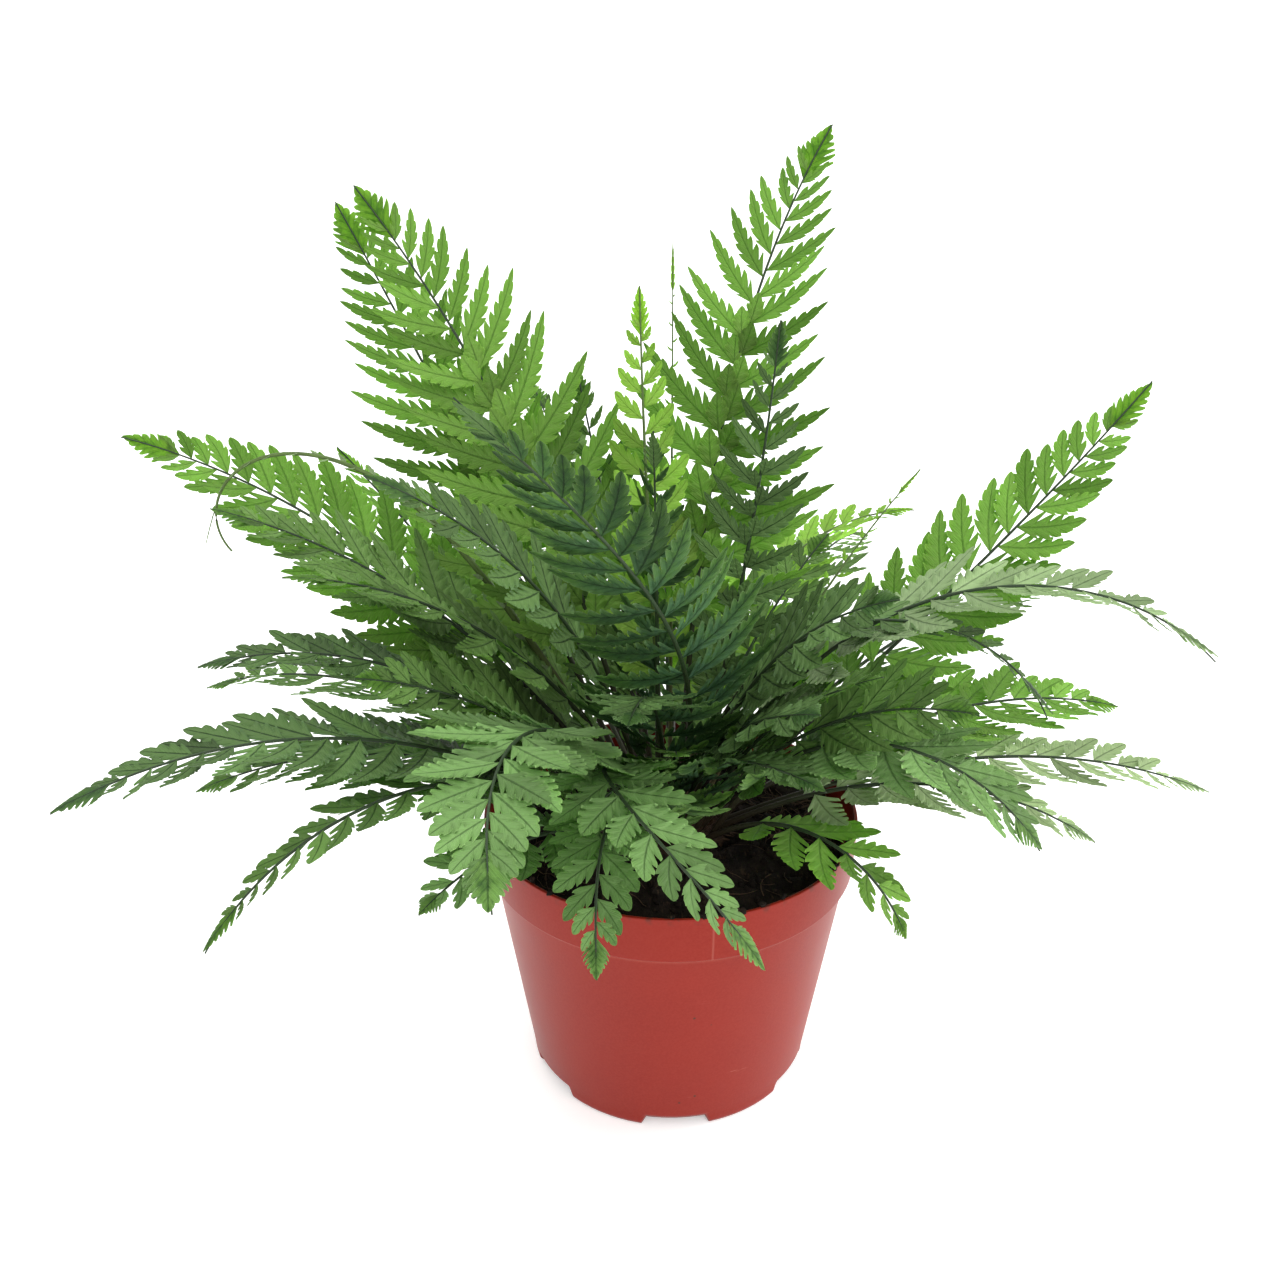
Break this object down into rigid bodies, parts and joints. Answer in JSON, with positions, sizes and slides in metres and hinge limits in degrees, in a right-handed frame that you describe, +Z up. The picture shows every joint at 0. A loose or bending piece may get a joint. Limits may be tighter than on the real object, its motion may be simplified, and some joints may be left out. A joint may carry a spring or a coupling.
{
  "type": "potted fern",
  "caption": "Holly fern with arching toothed fronds round a short crown, growing in compost in a thin tapered plastic nursery pot.",
  "frame": {"origin": "middle of the pad under the pot, on the surface it stands on", "axes": "+Z up along the pot's axis, -Y towards the plant's front, +X to its right as seen from the front"},
  "size_m": [0.341, 0.3185, 0.295],
  "materials": {
    "pot_plastic": "satin",
    "compost": "matte",
    "rhizome": "matte",
    "dark_frond": "satin",
    "bright_frond": "satin",
    "young_frond": "satin"
  },
  "bodies": {
    "root": {"pot": "pot_plastic", "compost": "compost", "crown": "rhizome", "tall_frond_01": "bright_frond", "tall_frond_02": "bright_frond", "tall_frond_03": "bright_frond", "tall_frond_04": "dark_frond", "tall_frond_05": "dark_frond", "tall_frond_06": "dark_frond", "tall_frond_07": "dark_frond", "upper_frond_01": "bright_frond", "upper_frond_02": "dark_frond", "upper_frond_03": "dark_frond", "upper_frond_04": "bright_frond", "upper_frond_05": "dark_frond", "upper_frond_06": "dark_frond", "upper_frond_07": "dark_frond", "upper_frond_08": "dark_frond", "upper_frond_09": "dark_frond", "short_frond_01": "dark_frond", "short_frond_02": "dark_frond", "short_frond_03": "dark_frond", "short_frond_04": "dark_frond", "short_frond_05": "dark_frond", "short_frond_06": "dark_frond", "short_frond_07": "dark_frond", "short_frond_08": "dark_frond", "short_frond_09": "dark_frond", "short_frond_10": "dark_frond", "low_frond_01": "dark_frond", "low_frond_02": "dark_frond", "low_frond_03": "dark_frond", "low_frond_04": "dark_frond", "low_frond_05": "dark_frond", "low_frond_06": "dark_frond", "low_frond_07": "dark_frond", "low_frond_08": "dark_frond", "low_frond_09": "dark_frond", "low_frond_10": "dark_frond", "low_frond_11": "dark_frond", "low_frond_12": "dark_frond", "low_frond_13": "dark_frond", "back_frond_01": "dark_frond", "back_frond_02": "dark_frond", "back_frond_03": "dark_frond", "back_frond_04": "dark_frond", "back_frond_05": "dark_frond", "back_frond_06": "dark_frond", "back_frond_07": "dark_frond", "back_frond_08": "dark_frond", "young_frond_01": "young_frond", "young_frond_02": "young_frond", "young_frond_03": "young_frond", "young_frond_04": "young_frond"}
  },
  "joints": []
}
